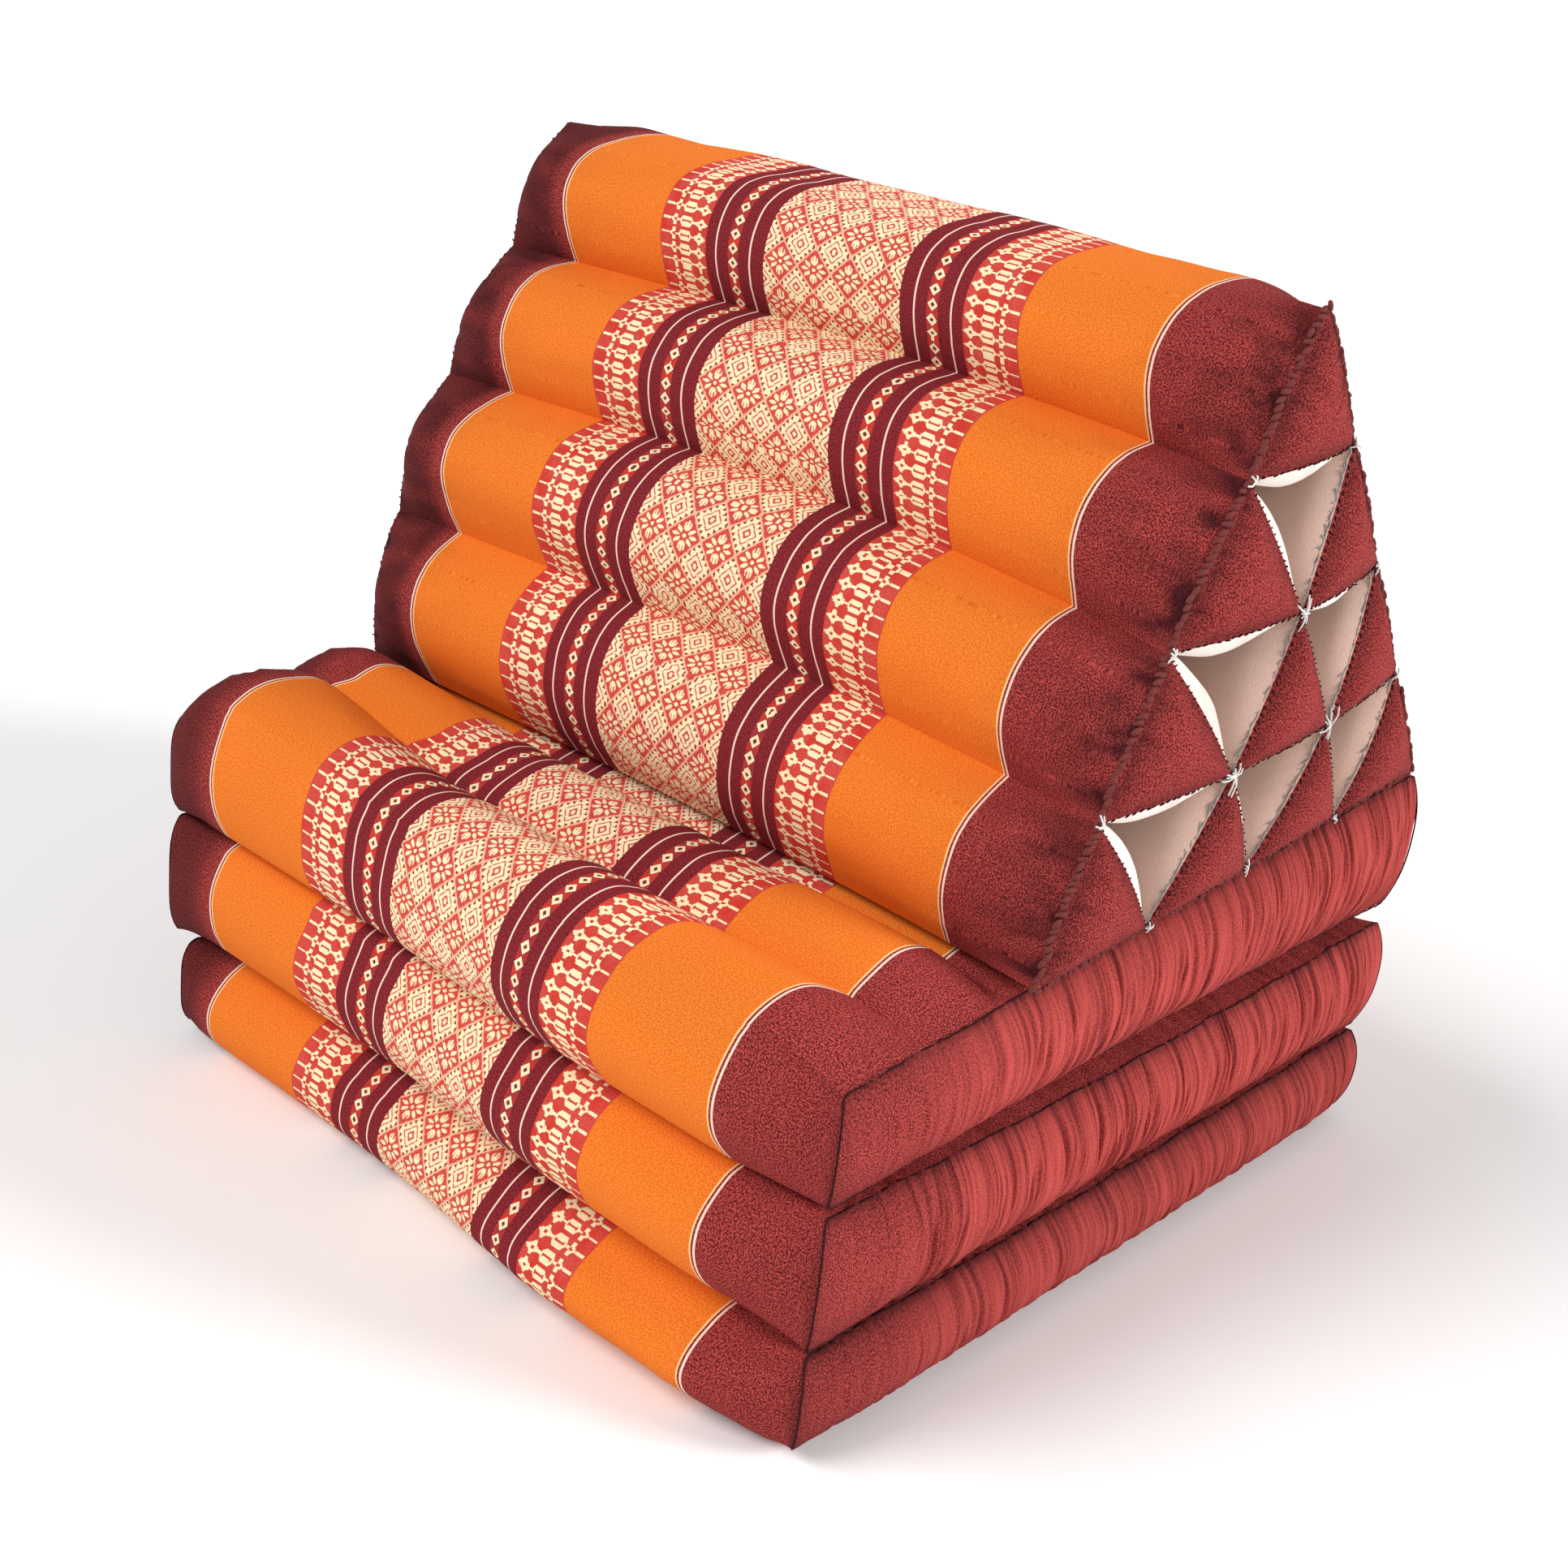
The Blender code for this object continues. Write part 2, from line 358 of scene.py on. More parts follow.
def gathered_strip(name, side, steps_y, steps_z):
    """Sews a side strip in: cloth that is longer than its seams, held along them."""
    bm = bmesh.new()
    bmesh.ops.create_grid(bm, x_segments=steps_y, y_segments=steps_z, size=1.0)
    if side < 0:
        bmesh.ops.reverse_faces(bm, faces=bm.faces)
    strip = make_object("strip", bm)
    grid = points_of(strip.data)
    b, c = grid[:, 0], grid[:, 1]
    start = mat_shape(name, np.full(len(b), float(side)), b, c)
    seed = list(mats).index(name) * 3 + (side > 0)
    flutter = ripple(np.stack([start[:, 1], start[:, 2] * 0.2, start[:, 0] * 0], 1), 0.0045, seed)
    held = np.clip((1 - np.abs(c)) * 4, 0, 1) * np.clip((1 - np.abs(b)) * 8, 0, 1)
    start[:, 0] += side * 0.0008 * flutter * held
    move_points(strip.data, start)
    rest = start.copy()
    columns, column_of = np.unique(np.round(b, 6), return_inverse=True)
    y_line = np.array([start[column_of == k, 1].mean() for k in range(len(columns))])
    fullness = 1.0 + 0.10 * smooth((y_line + 0.235) / 0.10) * smooth((0.262 - y_line) / 0.05)
    run = np.concatenate([[0], np.cumsum(np.diff(y_line) * (fullness[1:] + fullness[:-1]) / 2)])
    rest[:, 1] = y_line[0] + run[column_of]
    pinned = (np.abs(np.abs(b) - 1) < 1e-4) | (np.abs(np.abs(c) - 1) < 1e-4)
    shaped = inflate(strip, pinned, rest, 2.2, 14, 0.010, stiffness=22.0, bending=0.10)
    depth = gathers(start[:, 1], c, seed + 50, 0.012 if name == "mat_middle" else 0.055)
    deep = 0.0020 if name == "mat_bottom" else 0.0042
    shaped[:, 0] -= side * deep * depth * (0.25 + 0.75 * np.sqrt(1 - c * c))
    shaped[:, 2] += 0.0008 * flutter * (np.abs(c) > 0.999) * (np.abs(b) < 0.98) * (start[:, 2] > 0.02)
    remove(strip)
    # Painted shade: darker beside the top and bottom seams, just behind the front corner, towards the
    # bottom, in the folds, and all over on the bottom mat's strips.
    near_seam = np.exp(-(1 - np.abs(c)) / 0.30) * 0.34 + np.exp(-(1 - np.abs(c)) / 0.07) * 0.26
    near_seam += np.exp(-(start[:, 1] + half_depth) / 0.006) * 0.10 + 0.16 * smooth((-c - 0.1) / 0.8)
    fold = 0.62 * depth * (0.6 if name == "mat_bottom" else 1.0) * (0.35 + 0.65 * np.abs(c) ** 1.2)
    shade = np.minimum(near_seam + fold + (0.18 if name == "mat_bottom" else 0.0), 0.85)
    order = np.zeros((steps_y + 1, steps_z + 1), int)
    order[grid_place(b, steps_y), grid_place(c, steps_z)] = np.arange(len(b))
    return shaped[order], shade[order]


def grid_place(unit, steps):
    """Which of the steps from -1 to 1 a coordinate is on."""
    return np.rint((unit + 1) / 2 * steps).astype(int)


def make_mat(name, cover, side_cloth):
    steps = (36, 8 * 80, 16)
    ob = make_object(name + "_pad", block(steps))
    mesh = ob.data
    unit = points_of(mesh)
    a, b, c = unit.T
    normals = np.zeros(len(mesh.polygons) * 3)
    mesh.polygons.foreach_get("normal", normals)
    normals = normals.reshape(-1, 3)
    points = mat_shape(name, a, b, c)
    number = list(mats).index(name) + 1

    lines = girth(name, 0.0, steps[1], steps[2])
    corner, face = corner_points(mesh)
    row_y, row_z = grid_place(b, steps[1])[corner], grid_place(c, steps[2])[corner]
    facing = normals[face]
    along = 0.0
    for part, row, axis, way in (
        ("top", row_y, 2, 1), ("under", row_y, 2, -1), ("front", row_z, 1, -1), ("back", row_z, 1, 1)
    ):
        along = np.where(facing[:, axis] * way > 0.5, lines[part][row], along)
    on_side = np.abs(facing[:, 0]) > 0.5
    # At the front right, and on the left behind the first channel, the cover is drawn in.
    x, y = points[corner, 0], points[corner, 1]
    drawn = 0.0105 * smooth(x / 0.2) * smooth((-0.205 - y) / 0.085)
    if name == "mat_top":
        drawn = drawn - 0.016 * smooth(-x / 0.2) * smooth((y + 0.212) / 0.02)
    corner_map = np.stack([x + drawn, along], 1)
    corner_map[on_side] = points[corner][on_side][:, 1:]

    # Loose filling leaves the free surfaces a little uneven.
    free = np.clip((np.abs(b) - 0.97) / 0.03, 0, 1) * (1 - c ** 4)
    if name == "mat_top":
        free = np.maximum(free, (c > 0.99) * smooth((front_foot[0] - 0.004 - points[:, 1]) / 0.02))
    swell = ripple(points, (0.085, 0.05, 0.05), number) * 0.0016
    swell += ripple(points, 0.022, number + 7) * 0.0005
    points[:, 2] += swell * free * (c > 0.2)
    points[:, 1] += np.sign(b) * swell * free * (np.abs(b) > 0.999)

    # Small creases run away from each channel and from the side seams.
    groove = channel(points[:, 1])
    pinch = ripple(points * (1, 0.25, 0.25), (0.006, 0.02, 0.02), number + 3)
    points[:, 2] += pinch * 0.0007 * smooth(groove * 1.6 - 0.45) * free * (c > 0.99)
    pull = ripple(points * (0.25, 1, 0.6), (0.02, 0.007, 0.012), number + 5)
    near_side = smooth((0.034 - (half_width - np.abs(points[:, 0]))) / 0.034)
    on_top = (np.abs(a) < 0.999) & (np.abs(c) > 0.99)
    points[:, 2] += pull * 0.0012 * near_side * (1 - near_side) * 4 * on_top * np.sign(c)

    # Painted shade: darker at the left ends of the mats and beside the right side seams.
    shade = 0.66 * smooth((-0.222 - points[:, 0]) / 0.02)
    shade += 0.18 * np.exp(-(half_width - points[:, 0]) / 0.008)
    for side in (-1, 1):
        strip, strip_shade = gathered_strip(name, side, steps[1], steps[2])
        on_strip = a * side > 0.999
        place = grid_place(b[on_strip], steps[1]), grid_place(c[on_strip], steps[2])
        points[on_strip], shade[on_strip] = strip[place], strip_shade[place]
    if name == "mat_bottom":
        points[:, 2] = np.maximum(points[:, 2], 0.0)
    points[:, 0] += mat_shift
    move_points(mesh, points)
    keep_on_points(mesh, "shade", shade)
    lay_cloth_map(mesh, corner_map)
    mesh.materials.append(cover)
    mesh.materials.append(side_cloth)
    mesh.polygons.foreach_set("material_index", (np.abs(normals[:, 0]) > 0.5).astype(np.int32))
    mesh.shade_smooth()
    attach(ob, "root")
    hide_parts(name)
    return ob


# Triangular cushion.


def lattice(i, j, x=None):
    """Where the seams cross: point j of row i below the ridge, at x along the cushion."""
    p = ridge + (front_foot - ridge) * (i / rows) + (back_foot - front_foot) * (j / rows)
    if j == 0:
        p = p - (slope_bow[i], 0.0)
    if x is None:
        return p
    set_back = foot_set_back if (i, j) == (rows, 0) else 0.15 * seam_rise[i]
    along = 1 - np.where(x < 0, 0.45, 1.0) * (x / cushion_half) ** 2
    return p[None, :] + along[:, None] * np.array([[set_back, 0.92 * seam_rise[i]]])


def drift(x, z):
    """How far the left part of the cushion stands out sideways, most at half height."""
    levels = np.linspace(front_foot[1], ridge[1], rows + 1)
    return np.interp(z, levels, left_lean[::-1]) * smooth((0.08 - x) / 0.16)


def share_inside(p):
    """0 on the edge of an end face and 1 at its middle."""
    ab, ac, ap = back_foot - front_foot, ridge - front_foot, p - front_foot
    whole = ab[0] * ac[1] - ab[1] * ac[0]
    s = (ap[..., 0] * ac[1] - ap[..., 1] * ac[0]) / whole
    t = (ab[0] * ap[..., 1] - ab[1] * ap[..., 0]) / whole
    return np.maximum(0.0, 27.0 * s * t * (1 - s - t))


def is_outer(row, column, side):
    """True where a side of a tube is part of a slope."""
    return (side == 1) & (column == row) | (side == 2) & (column == 0)


def roll_outline(s, width, sag, outer):
    """Along and out of a chord: a full curve for the rolls of the slopes, and an arc inside."""
    half_turn = 2 * np.arctan(2 * sag / width)
    swing = (2 * s - 1) * half_turn
    arc_along = np.sin(swing) / np.sin(half_turn) / 2
    arc_out = width / 2 / np.sin(half_turn) * (np.cos(swing) - np.cos(half_turn))
    full_out = sag * (1 - np.abs(2 * s - 1) ** roll_power)
    return np.where(outer, s - 0.5, arc_along), np.where(outer, full_out, arc_out)


def tube_shape(row, column, reach, turn, length, plump):
    """Points of a tube: reach 0 to 1 from its middle line, turn 0 to 3 round its sides.

    plump is the least share of the full bulge, so 1 gives the tube without its drawn-in ends.
    """
    side = np.floor(turn + 1e-9).astype(int) % 3
    s = turn - np.floor(turn + 1e-9)
    outer = is_outer(row, column, side)
    from_end = (1.0 - np.abs(length)) * cushion_half
    over = np.where(outer, np.where(length < 0, 0.045, 0.080), 0.017)
    run = 1.0 - (1.0 - np.minimum(1.0, from_end / over)) ** 2.6
    at_end = np.where(outer, np.where(length < 0, 0.28, 0.08), 0.04)
    run = np.maximum(at_end + (1 - at_end) * run, plump)
    x0 = length * cushion_half
    corners = [lattice(row + 1, column, x0), lattice(row + 1, column + 1, x0), lattice(row, column, x0)]
    middle = sum(corners) / 3
    a = np.choose(side[:, None], corners)
    b = np.choose(side[:, None], [corners[1], corners[2], corners[0]])
    edge = b - a
    size = np.linalg.norm(edge, axis=1)
    out = np.stack([edge[:, 1], -edge[:, 0]], 1) / size[:, None]
    wall = front_inner_sag if column == 0 else inner_sag
    proudest = lowest_sag if row == rows - 1 and column == 0 else outer_sag
    sag = np.where(outer, proudest, np.where(side == 0, under_sag if row == rows - 1 else wall, wall)) * run
    along, proud = roll_outline(s, size, sag, outer)
    section = (a + b) / 2 + edge * along[:, None] + out * proud[:, None]
    p = middle + (section - middle) * reach[:, None]
    end = cushion_half + 0.013 * share_inside(p)
    cap = 0.0100 * (1 - reach ** 2.2)
    x = length * end + np.sign(length) * cap * (np.abs(length) > 0.9999) - drift(x0, p[:, 1])
    return np.column_stack([x, p])


def side_materials(mesh, row, column, side_steps):
    """0 for the patterned cover, 1 for plain red cloth, 2 for undyed cloth and 3 for its shaded walls."""
    centres = np.zeros(len(mesh.polygons) * 3)
    mesh.polygons.foreach_get("center", centres)
    centres = centres.reshape(-1, 3)
    turn = (np.arctan2(centres[:, 1], centres[:, 0]) / math.tau) % 1.0 * 3
    side = np.floor(turn).astype(int) % 3
    share = turn - np.floor(turn)
    kind = np.where(side == 0, 1 if row == rows - 1 else 2, np.where(is_outer(row, column, side), 0, 2))
    # The cover turns in over the seam by one step.
    before, after = is_outer(row, column, (side - 1) % 3), is_outer(row, column, (side + 1) % 3)
    turned_in = (before & (share < 1 / side_steps)) | (after & (share > 1 - 1 / side_steps))
    kind = np.where(turned_in & (kind == 2), 0, kind)
    # Painted shade: the undyed walls that face the front take the shaded copy of the cloth.
    kind = np.where((kind == 2) & (side == 2), 3, kind)
    cap = np.abs(centres[:, 2]) > 0.9999
    return np.where(cap, 1, kind), side, cap


def make_tube(row, column, cloths):
    seen = column in (0, row)
    side_steps, steps_x, rings = 26, 72 if seen else 40, 8
    bm = bmesh.new()
    around = 3 * side_steps
    bmesh.ops.create_cone(bm, cap_ends=True, cap_tris=True, segments=around, radius1=1, radius2=1, depth=2)
    edges = [e for e in bm.edges if abs(e.verts[0].co.z - e.verts[1].co.z) > 1]
    bmesh.ops.subdivide_edges(bm, edges=edges, cuts=steps_x - 1, use_grid_fill=True)
    spokes = [e for e in bm.edges if min(v.co.xy.length for v in e.verts) < 1e-6]
    bmesh.ops.subdivide_edges(bm, edges=spokes, cuts=rings - 1, use_grid_fill=True)
    ob = make_object(f"tube_{row + 1}_{column + 1}_pad", bm)
    mesh = ob.data
    unit = points_of(mesh)
    reach = np.minimum(1.0, np.hypot(unit[:, 0], unit[:, 1]))
    reach = np.where(reach > 0.9999, 1.0, reach)
    turn = (np.arctan2(unit[:, 1], unit[:, 0]) / math.tau) % 1.0 * 3
    turn = np.rint(turn * side_steps) / side_steps % 3
    length = np.sign(unit[:, 2]) * (1 - (1 - np.abs(unit[:, 2])) ** 1.35)
    on_cap = np.abs(unit[:, 2]) > 0.9999
    points = tube_shape(row, column, reach, turn, length, 0.0)
    flat = tube_shape(row, column, reach, turn, length, 1.0)

    # The cloth runs over the ridge: it is measured from there down the front, and negative behind.
    kind, face_side, cap_face = side_materials(mesh, row, column, side_steps)
    corner, face = corner_points(mesh)
    side = face_side[face]
    turns = np.where((side == 2) & (turn[corner] < 0.5), turn[corner] + 3, turn[corner])
    share = turns - side
    steps = np.linspace(0, 1, side_steps + 1)
    outline = np.stack(roll_outline(steps, 0.090, outer_sag, True) * np.array([[0.090], [1.0]]), 1)
    run = np.concatenate([[0], np.cumsum(np.linalg.norm(np.diff(outline, axis=0), axis=1))])
    share_of_cloth = np.interp(share, steps, run / run[-1])
    along = np.where(side == 2, row + share_of_cloth, -(row + 1 - share_of_cloth)) * cloth_per_roll
    along = np.where(side == 0, share * 0.095, along)
    straight = flat[:, 0] + drift(length * cushion_half, flat[:, 2])
    corner_map = np.stack([straight[corner] * cloth_per_width, along], 1)
    caps = cap_face[face]
    corner_map[caps] = points[corner][caps][:, 1:]
    lay_cloth_map(mesh, corner_map)

    # Uneven filling.
    number = row * 4 + column
    lump = ripple(points, (0.09, 0.045, 0.045), number + 20) * 0.0014
    lump += ripple(points, 0.02, number + 40) * 0.0004
    outward = (points - tube_shape(row, column, np.zeros(len(turn)), turn, length, 0.0))[:, 1:]
    outward /= np.maximum(np.linalg.norm(outward, axis=1, keepdims=True), 1e-6)
    free = (1 - np.abs((turn % 1.0) * 2 - 1) ** 4) * (~on_cap)
    points[:, 1:] += outward * (lump * free)[:, None]

    at_seam = (reach > 0.9999) & (np.abs(turn - np.rint(turn)) < 1e-6)
    for material in cloths:
        mesh.materials.append(material)
    mesh.polygons.foreach_set("material_index", kind)
    move_points(mesh, points)
    rest = np.where((on_cap & (reach < 0.9999))[:, None], points, flat)
    points = inflate(ob, at_seam | on_cap, rest, 2.0, 12, 0.005, stiffness=25.0, bending=0.25)
    move_points(mesh, points)

    from_seam = np.minimum(turn % 1.0, 1 - turn % 1.0) * 120
    at_ridge = (row == 0) & (np.abs(turn - 2) < 0.3)
    outer = is_outer(row, column, np.floor(turn).astype(int) % 3)
    beside_seam = from_seam / 4 * np.exp(1 - from_seam / 4)
    keep_on_points(mesh, "near seam", beside_seam * outer * (~on_cap) * (~at_ridge))
    keep_on_points(mesh, "near end", (reach > 0.9999) * outer * np.clip(from_seam / 9, 0, 1))
    keep_on_points(mesh, "cover", (reach > 0.9999) * outer)
    keep_on_points(mesh, "end panel", on_cap * (reach < 0.9999))
    on_rim = on_cap & (reach > 0.9999)
    keep_on_points(mesh, "seam", (at_seam & ~at_ridge) | on_rim)
    sharpen(mesh, at_seam & ~at_ridge, on_rim)
    finer(ob)
    part_seams(ob.data)
    fold_tube(ob.data, row, column, number)
    ob.data.shade_smooth()
    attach(ob, "root")
    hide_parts(f"tube_{row + 1}_{column + 1}")
    return ob


def edge_ends(mesh):
    ends = np.zeros(len(mesh.edges) * 2, np.int32)
    mesh.edges.foreach_get("vertices", ends)
    return ends.reshape(-1, 2).T


def part_seams(mesh):
    """The cloths that meet in a seam are lit apart."""
    seam = read_points(mesh, "seam")
    first, second = edge_ends(mesh)
    sharp = (seam[first] > 0.999) & (seam[second] > 0.999)
    mesh.attributes.new("sharp_edge", "BOOLEAN", "EDGE").data.foreach_set("value", sharp)


def sharpen(mesh, at_seam, on_rim):
    """Keeps the seams sharp when the mesh is made finer."""
    first, second = edge_ends(mesh)
    crease = np.where(at_seam[first] & at_seam[second], 1.0, 0.0)
    crease = np.maximum(crease, np.where(on_rim[first] & on_rim[second], 0.8, 0.0))
    layer = mesh.attributes.new("crease_edge", "FLOAT", "EDGE")
    layer.data.foreach_set("value", crease.astype(np.float32))


def finer(ob):
    """One step of subdivision, applied."""
    smoother = ob.modifiers.new("smoother", "SUBSURF")
    smoother.levels = smoother.render_levels = 1
    mesh = bpy.data.meshes.new_from_object(ob.evaluated_get(bpy.context.evaluated_depsgraph_get()))
    ob.modifiers.clear()
    old, ob.data = ob.data, mesh
    bpy.data.meshes.remove(old)


def fold_tube(mesh, row, column, number):
    """Small folds: along the valleys, in from the end seam, and round the end panels; also the painted
    shade kept on the points.
    """
    near_seam, near_end = read_points(mesh, "near seam"), read_points(mesh, "near end")
    covered, panel = read_points(mesh, "cover"), read_points(mesh, "end panel")
    points = points_of(mesh)
    normals = np.zeros(len(points) * 3)
    mesh.vertices.foreach_get("normal", normals)
    normals = normals.reshape(-1, 3)
    from_end = np.maximum(0.0, cushion_half - np.abs(points[:, 0] + drift(points[:, 0], points[:, 2])))
    folds = ripple(points, (0.0052, 0.03, 0.03), number + 60)
    depth = 0.0004 * near_seam * np.minimum(folds, 0.3) * smooth(from_end / 0.03)
    pucker = ripple(points, (0.035, 0.0058, 0.0058), number + 80)
    fade = np.exp(-from_end / 0.020) * smooth(from_end / 0.004)
    depth += 0.0016 * near_end * np.minimum(pucker, 0.25) * fade
    points += normals * depth[:, None]
    # Painted shade: darker in patches towards the end seams of the slopes' cover, more where it puckers,
    # and over the plain left ends.
    smudge_and_shade = 0.75 + 0.45 * ripple(points, (0.03, 0.012, 0.012), number + 90)
    shade = covered * np.exp(-from_end / 0.024) * smudge_and_shade * (0.80 + 0.3 * (pucker < -0.2))
    left_end = smooth((0.056 - from_end) / 0.015) * (points[:, 0] < 0)
    shade = np.maximum(shade, (0.68 + 0.25 * (smudge_and_shade - 0.75)) * left_end)

    corners = [lattice(row + 1, column), lattice(row + 1, column + 1), lattice(row, column)]
    sign = np.sign(points[:, 0])
    for side in range(3):
        a, b = corners[side], corners[(side + 1) % 3]
        way = (b - a) / np.linalg.norm(b - a)
        from_edge = np.abs((points[:, 1] - a[0]) * way[1] - (points[:, 2] - a[1]) * way[0])
        run = (points[:, 1:] - a) @ way
        place = np.stack([run / 0.0050, from_edge / 0.03, np.full(len(run), number * 5.0 + side)], 1)
        strong = 0.0023 if is_outer(row, column, side) else 0.0010
        wrinkle = np.minimum(ripple(place, 1.0, 0), 0.2)
        fade = np.exp(-from_edge / 0.014) * smooth(from_edge / 0.003)
        points[:, 0] += sign * panel * strong * wrinkle * fade
        # Painted shade round the edges of each end panel and in the troughs of its wrinkles.
        edge_shade = 0.70 * np.exp(-from_edge / 0.007)
        edge_shade += strong * 160 * np.maximum(-wrinkle, 0) * np.exp(-from_edge / 0.012)
        shade = np.maximum(shade, panel * edge_shade)
    move_points(mesh, points)
    keep_on_points(mesh, "shade", np.clip(shade, 0, 0.9))


# Sewing.


def stitches(name, rows_of_points, material, length, thick):
    """Short thread stitches: each row is (place, direction) pairs."""
    bm = bmesh.new()
    for place, direction in rows_of_points:
        turn = Vector(direction).to_track_quat("Z", "X").to_matrix().to_4x4()
        size = Matrix.Diagonal((thick, thick, length / 2, 1.0))
        put = Matrix.Translation(place) @ turn @ size
        bmesh.ops.create_uvsphere(bm, u_segments=6, v_segments=4, radius=1.0, matrix=put)
    ob = make_object(name, bm)
    ob.data.materials.append(material)
    ob.data.shade_smooth()
    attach(ob, "root")
    return ob


def cord_along(name, lines, radius, material):
    """Round thread laid along each line of points."""
    curve = bpy.data.curves.new(name, "CURVE")
    curve.dimensions = "3D"
    curve.bevel_depth = radius
    curve.bevel_resolution = 1
    curve.use_fill_caps = True
    for line in lines:
        spline = curve.splines.new("POLY")
        spline.points.add(len(line) - 1)
        for point, place in zip(spline.points, line):
            point.co = (*place, 1.0)
    holder = bpy.data.objects.new(name, curve)
    bpy.context.scene.collection.objects.link(holder)
    mesh = bpy.data.meshes.new_from_object(holder.evaluated_get(bpy.context.evaluated_depsgraph_get()))
    bpy.data.objects.remove(holder)
    bpy.data.curves.remove(curve)
    ob = bpy.data.objects.new(name, mesh)
    bpy.context.scene.collection.objects.link(ob)
    mesh.materials.append(material)
    mesh.shade_smooth()
    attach(ob, "root")
    return ob


def end_edge(row, column, side, end, count):
    """Points along one side of an end panel, the way along it and the way inwards on the panel."""
    turn = side + (np.arange(count) + 0.5) / count
    ones = np.ones(count)
    edge = tube_shape(row, column, ones, turn, ones * end, 0.0)
    inner = tube_shape(row, column, ones * 0.93, turn, ones * end, 0.0) - edge
    along = np.gradient(edge, axis=0)
    return edge, unit_length(along), unit_length(inner)


def unit_length(ways):
    return ways / np.linalg.norm(ways, axis=-1, keepdims=True)


def whip_stitching(rope_thread, panel_thread):
    """Over-and-over stitches that close each end panel, like a rope on the outer edges."""
    dice = np.random.default_rng(5)
    fine, coarse = [], []
    for end in (-1, 1):
        for row in range(rows):
            for column in range(row + 1):
                for side in range(3):
                    rope = end > 0 and (is_outer(row, column, side) or (side == 0 and row == rows - 1))
                    edge, along, inner = end_edge(row, column, side, end, 21 if rope else 20)
                    jitter = dice.normal(0, 0.00045 if rope else 0.00025, edge.shape)
                    lean = dice.normal(0, 0.20 if rope else 0.10, edge.shape)
                    if rope:
                        ways = along * 0.85 - inner * 0.5 * end + lean
                        coarse += list(zip(edge + jitter - inner * 0.0008, ways))
                    else:
                        ways = along * 0.75 + inner * 0.65 + lean * 1.5
                        lift = np.array([end * 0.0005, 0, 0])
                        fine += list(zip(edge + jitter + inner * 0.0013 + lift, ways))
    stitches("rope_stitches", coarse, rope_thread, 0.0070, 0.00165)
    stitches("panel_stitches", fine, panel_thread, 0.0034, 0.00050)


def frayed_edges(thread):
    """The raw edges of the undyed cloth that show at the back of each open channel."""
    dice = np.random.default_rng(11)
    lines = []
    for end in (-1, 1):
        for row in range(1, rows):
            for column in range(1, row + 1):
                edge, along, inner = end_edge(row, column, 2, end, 40)
                line = edge - inner * 0.0012 + dice.normal(0, 0.00035, edge.shape)
                lines.append(list(line))
                for place, way, back in list(zip(line, along, inner))[::2]:
                    tip = way * dice.normal(0, 0.0018) - back * dice.uniform(0.0005, 0.0026)
                    lines.append([place, place + tip + np.array([end * dice.uniform(-0.001, 0.001), 0, 0])])
    cord_along("frayed_edges", lines, 0.00045, thread)


def thread_knots(thread):
    """White thread crossed and tied where the tubes meet on an end face."""
    dice = np.random.default_rng(9)
    lines = []
    for end in (-1, 1):
        for i in range(1, rows + 1):
            for j in range(i + 1):
                if i == rows and j in (0, rows):
                    continue
                inner = 0 < j < i < rows
                if end < 0 and not inner:
                    continue
                node = lattice(i, j)
                x = end * (cushion_half + 0.013 * share_inside(node) + 0.0012)
                place = np.array([x - drift(x, node[1]), *node])
                for _ in range(8 if inner else 4):
                    angle = dice.uniform(0, math.tau)
                    reach = dice.uniform(0.006, 0.013) if inner else dice.uniform(0.002, 0.006)
                    way = np.array([0.0, math.cos(angle), math.sin(angle)]) * reach
                    lift = np.array([end * 0.0016, 0, 0])
                    bend = dice.normal(0, 0.0009, 3)
                    over = place + way * 0.5 + bend + lift * 0.7
                    lines.append([place - way * 0.3, place + lift, over, place + way + bend])
    cord_along("end_knots", lines, 0.00050, thread)


def side_seams(thread):
    """The sewn lines of the side strips: along both edges and up the corners."""
    lines = []
    b = np.linspace(-1, 1, 200)
    c = np.linspace(-1, 1, 16)
    for name in mats:
        number = list(mats).index(name)
        for side in (-1, 1):
            for level in (-1, 1):
                if name == "mat_bottom" and level < 0:
                    continue
                p = mat_shape(name, np.full(len(b), float(side)), b, np.full(len(b), float(level)))
                p[:, 0] -= side * 0.0002 - mat_shift
                p[:, 2] += ripple(p, 0.005, number) * 0.0005
                lines.append(p)
            for front in (-1, 1):
                p = mat_shape(name, np.full(len(c), float(side)), np.full(len(c), float(front)), c)
                lines.append(p + (mat_shift, 0, 0))
    return cord_along("side_seams", lines, 0.00050, thread)


# Materials.


